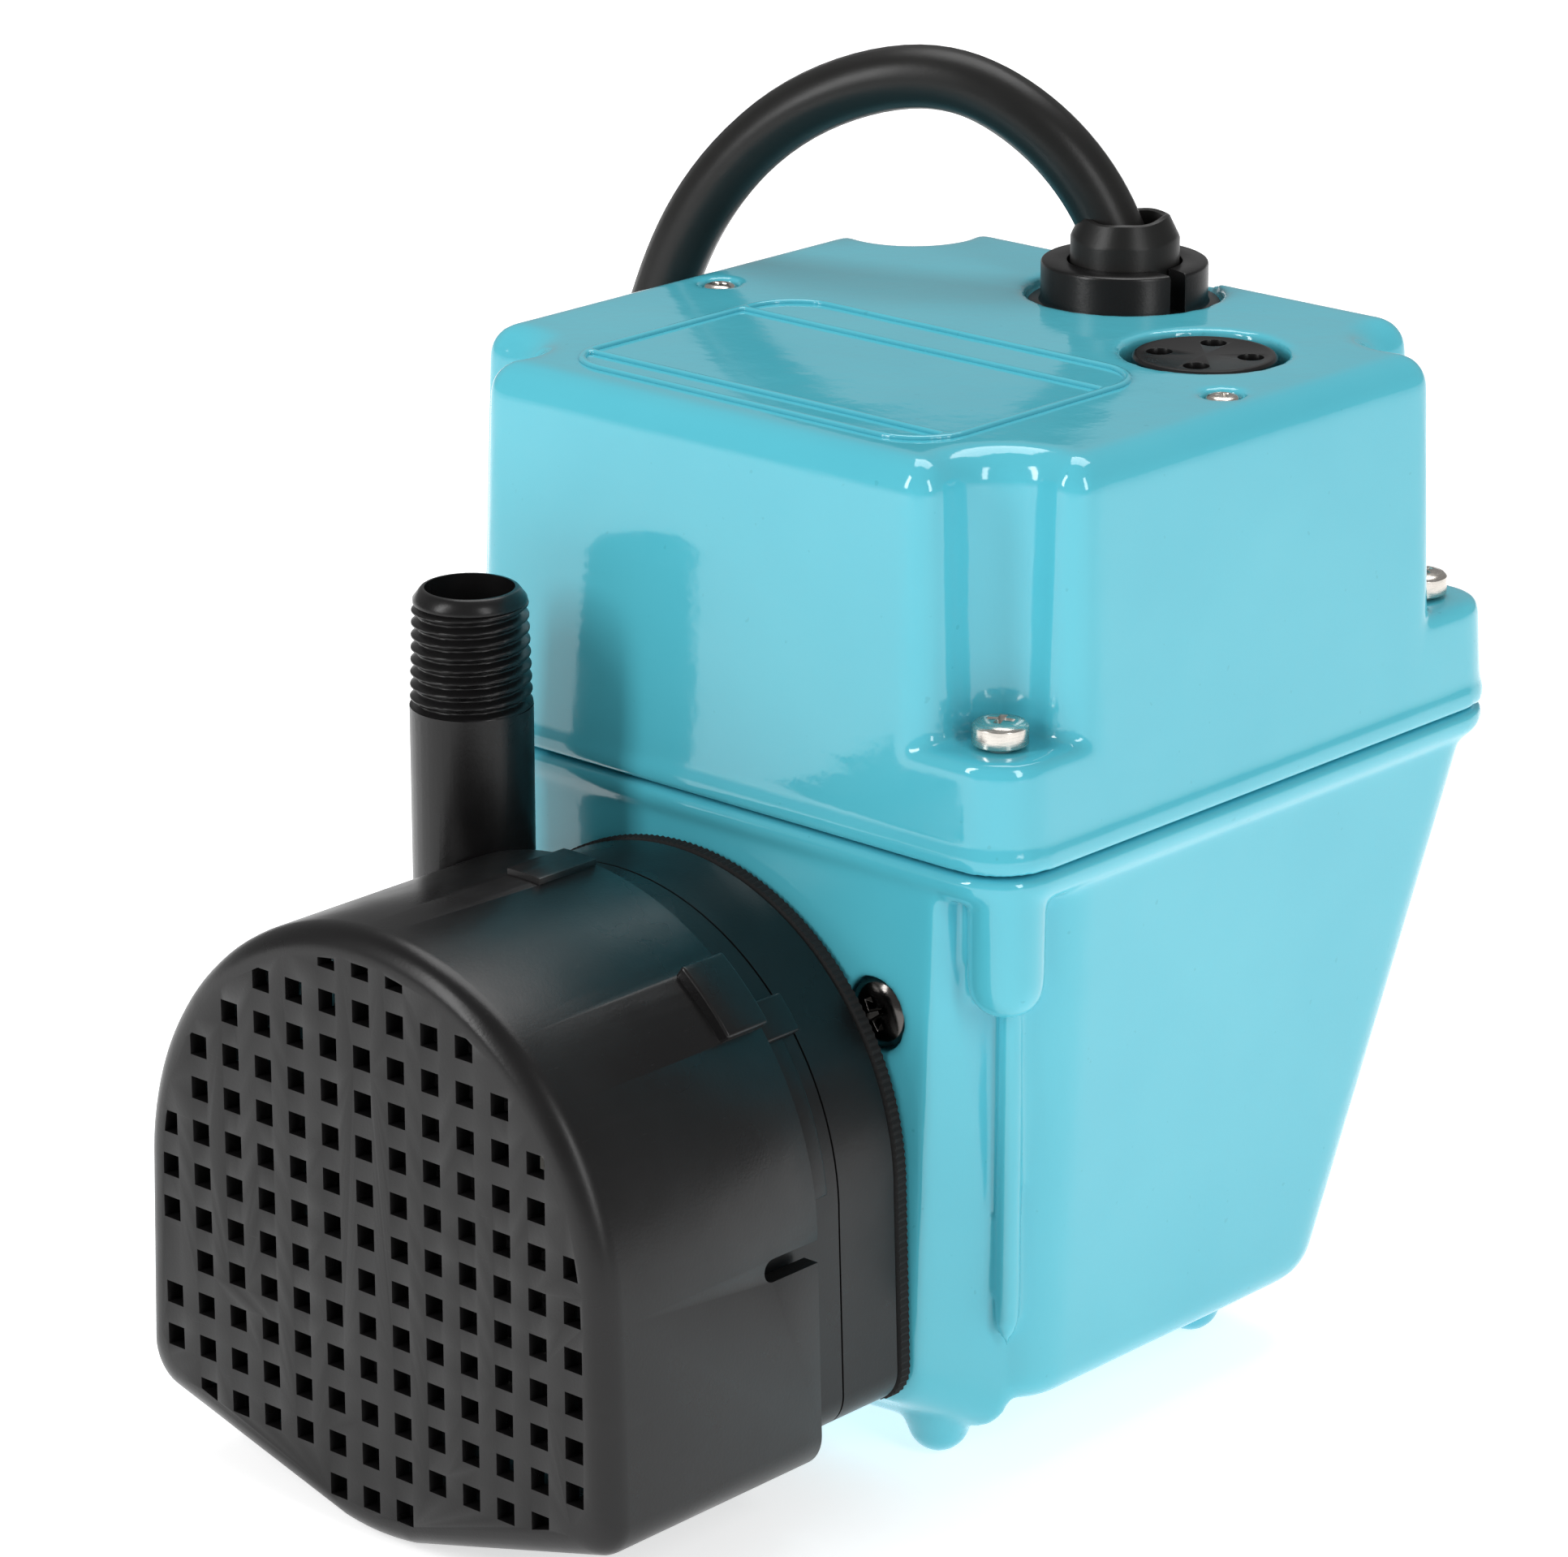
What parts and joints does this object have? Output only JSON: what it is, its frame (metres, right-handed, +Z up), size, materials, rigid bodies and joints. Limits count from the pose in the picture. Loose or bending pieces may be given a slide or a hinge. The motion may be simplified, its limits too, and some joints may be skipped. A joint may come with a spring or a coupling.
{
  "type": "submersible pump",
  "caption": "Small submersible utility pump: coated oil-filled motor casting, plastic pump head with intake screen, upright threaded discharge pipe, power cord.",
  "frame": {"origin": "on the floor under the middle of the pump, cord left out", "axes": "+Z up out of the cover's flat top, -Y towards the intake screen, +X to the right seen from the screen"},
  "size_m": [0.1743, 0.229, 0.144],
  "materials": {
    "epoxy_coating": "gloss",
    "black_plastic": "satin",
    "black_rubber": "satin",
    "stainless_steel": "bright",
    "lamination_steel": "satin",
    "enamelled_copper": "gloss enamel",
    "cast_aluminium": "as cast",
    "white_nylon": "satin",
    "sintered_bronze": "satin",
    "seal_ceramic": "lapped",
    "plug_brass": "bright",
    "black_wire": "satin",
    "white_wire": "satin",
    "green_wire": "satin"
  },
  "bodies": {
    "pump": {"motor_cover": "epoxy_coating", "name_plate_border": "epoxy_coating", "motor_housing": "epoxy_coating", "volute": "black_plastic", "volute_back_plate": "black_plastic", "cord_gland_nut": "black_plastic", "diaphragm_cap": "black_plastic", "coil_tie": "black_plastic", "cover_gasket": "black_rubber", "volute_gasket": "black_rubber", "cord_strain_relief": "black_rubber", "expansion_diaphragm": "black_rubber", "power_cord": "black_rubber", "cord_coil": "black_rubber", "plug_body": "black_rubber", "cover_screw_front_left": "stainless_steel", "cover_screw_front_right": "stainless_steel", "cover_screw_rear_left": "stainless_steel", "cover_screw_rear_right": "stainless_steel", "mount_screw_left": "stainless_steel", "mount_screw_right": "stainless_steel", "motor_plate_screw_left": "stainless_steel", "motor_plate_screw_right": "stainless_steel", "volute_screw_top": "stainless_steel", "volute_screw_right": "stainless_steel", "volute_screw_left": "stainless_steel", "motor_screw_1": "stainless_steel", "motor_screw_2": "stainless_steel", "motor_screw_3": "stainless_steel", "motor_screw_4": "stainless_steel", "gland_lock_ring": "stainless_steel", "stator_core": "lamination_steel", "coil_winding": "enamelled_copper", "front_bracket": "cast_aluminium", "rear_bracket": "cast_aluminium", "coil_bobbin": "white_nylon", "front_bearing": "sintered_bronze", "rear_bearing": "sintered_bronze", "seal_seat": "seal_ceramic", "plug_blade_left": "plug_brass", "plug_blade_right": "plug_brass", "plug_ground_pin": "plug_brass", "live_lead": "black_wire", "neutral_lead": "white_wire", "ground_lead": "green_wire"},
    "rotor": {"shaft": "stainless_steel", "rotor_core": "lamination_steel", "rotor_end_ring_front": "cast_aluminium", "rotor_end_ring_rear": "cast_aluminium", "impeller": "white_nylon", "seal_head": "black_rubber", "seal_spring": "stainless_steel"},
    "screen": {"intake_screen": "black_plastic"}
  },
  "joints": [
    {"name": "rotor_spin", "type": "hinge", "parent": "pump", "child": "rotor", "pos_m": [0, 0, 0.0348], "axis": [0, 1, 0], "continuous": true},
    {"name": "screen_pull_off", "type": "slide", "parent": "pump", "child": "screen", "axis": [0, -1, 0], "range_m": [0, 0.035]}
  ]
}
